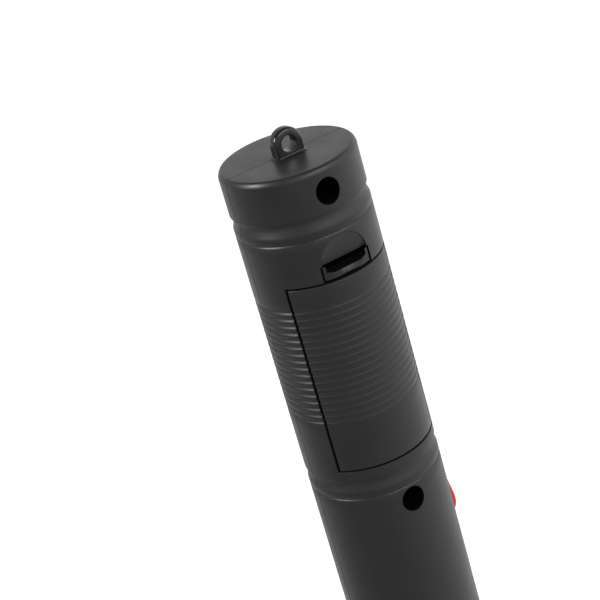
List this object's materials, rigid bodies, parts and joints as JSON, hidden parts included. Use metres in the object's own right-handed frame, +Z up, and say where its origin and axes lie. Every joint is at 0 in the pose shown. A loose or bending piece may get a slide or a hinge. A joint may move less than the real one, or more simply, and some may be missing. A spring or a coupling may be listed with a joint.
{
  "type": "non contact voltage tester",
  "caption": "Tubular hand-held non-contact voltage tester with lanyard eye, curved battery door with finger latch, press button and slim sensing nose.",
  "frame": {"origin": "the lanyard eye: on its bore axis, in the plane where the two shells meet, on the tube's axis", "axes": "+Z up along the tube from the sensing nose to the lanyard eye; -Y is the battery-door side; +X is the press-button side"},
  "size_m": [0.0393, 0.038, 0.2544],
  "materials": {
    "shell_plastic": "satin black moulded ABS",
    "door_plastic": "satin black moulded ABS",
    "screw_steel": "dark zinc-plated steel",
    "button_plastic": "red moulded plastic",
    "clear_red": "clear red moulded plastic",
    "battery_jacket": "lithographed steel can",
    "terminal_nickel": "nickel-plated steel",
    "connector_vinyl": "soft black vinyl",
    "board_laminate": "green solder-masked glass laminate",
    "part_black": "black moulded epoxy",
    "part_blue": "blue plastic sleeve",
    "resistor_lacquer": "tan lacquer",
    "sleeve_brass": "rolled brass foil",
    "pad_foam": "closed-cell foam",
    "wire_red": "red vinyl insulation",
    "wire_black": "black vinyl insulation"
  },
  "bodies": {
    "housing": {"battery": "battery_jacket", "battery_lead_black": "wire_black", "battery_lead_red": "wire_red", "battery_socket": "terminal_nickel", "battery_stud": "terminal_nickel", "board_screw_1": "screw_steel", "board_screw_2": "screw_steel", "buzzer": "part_black", "capacitor": "part_blue", "circuit_board": "board_laminate", "detector_chip": "part_black", "front_shell": "shell_plastic", "lamp": "clear_red", "lamp_lead_1": "wire_red", "lamp_lead_2": "wire_red", "nose_tube": "shell_plastic", "rear_shell": "shell_plastic", "resistor_1": "resistor_lacquer", "resistor_2": "resistor_lacquer", "resistor_3": "resistor_lacquer", "sensor_lead": "wire_black", "sensor_sleeve": "sleeve_brass", "shell_screw_1": "screw_steel", "shell_screw_2": "screw_steel", "shell_screw_3": "screw_steel", "snap_connector": "connector_vinyl", "switch_body": "part_black", "tip_lens": "clear_red", "trimmer": "part_blue"},
    "door": {"battery_door": "door_plastic", "battery_pad": "pad_foam"},
    "latch": {"door_latch": "door_plastic"},
    "button": {"press_button": "button_plastic", "switch_plunger": "terminal_nickel"}
  },
  "joints": [
    {"name": "door_swing", "type": "hinge", "parent": "housing", "child": "door", "pos_m": [0, -0.019, -0.0917], "axis": [1, 0, 0], "range_deg": [0, 65]},
    {"name": "latch_slide", "type": "slide", "parent": "door", "child": "latch", "axis": [0, 0, -1], "range_m": [0, 0.0006], "stiffness_N_per_m": 900, "springref_m": -0.0004, "deforming": ["door_latch"]},
    {"name": "button_press", "type": "slide", "parent": "housing", "child": "button", "axis": [-1, 0, 0], "range_m": [0, 0.0012], "stiffness_N_per_m": 900, "springref_m": -0.0006}
  ]
}
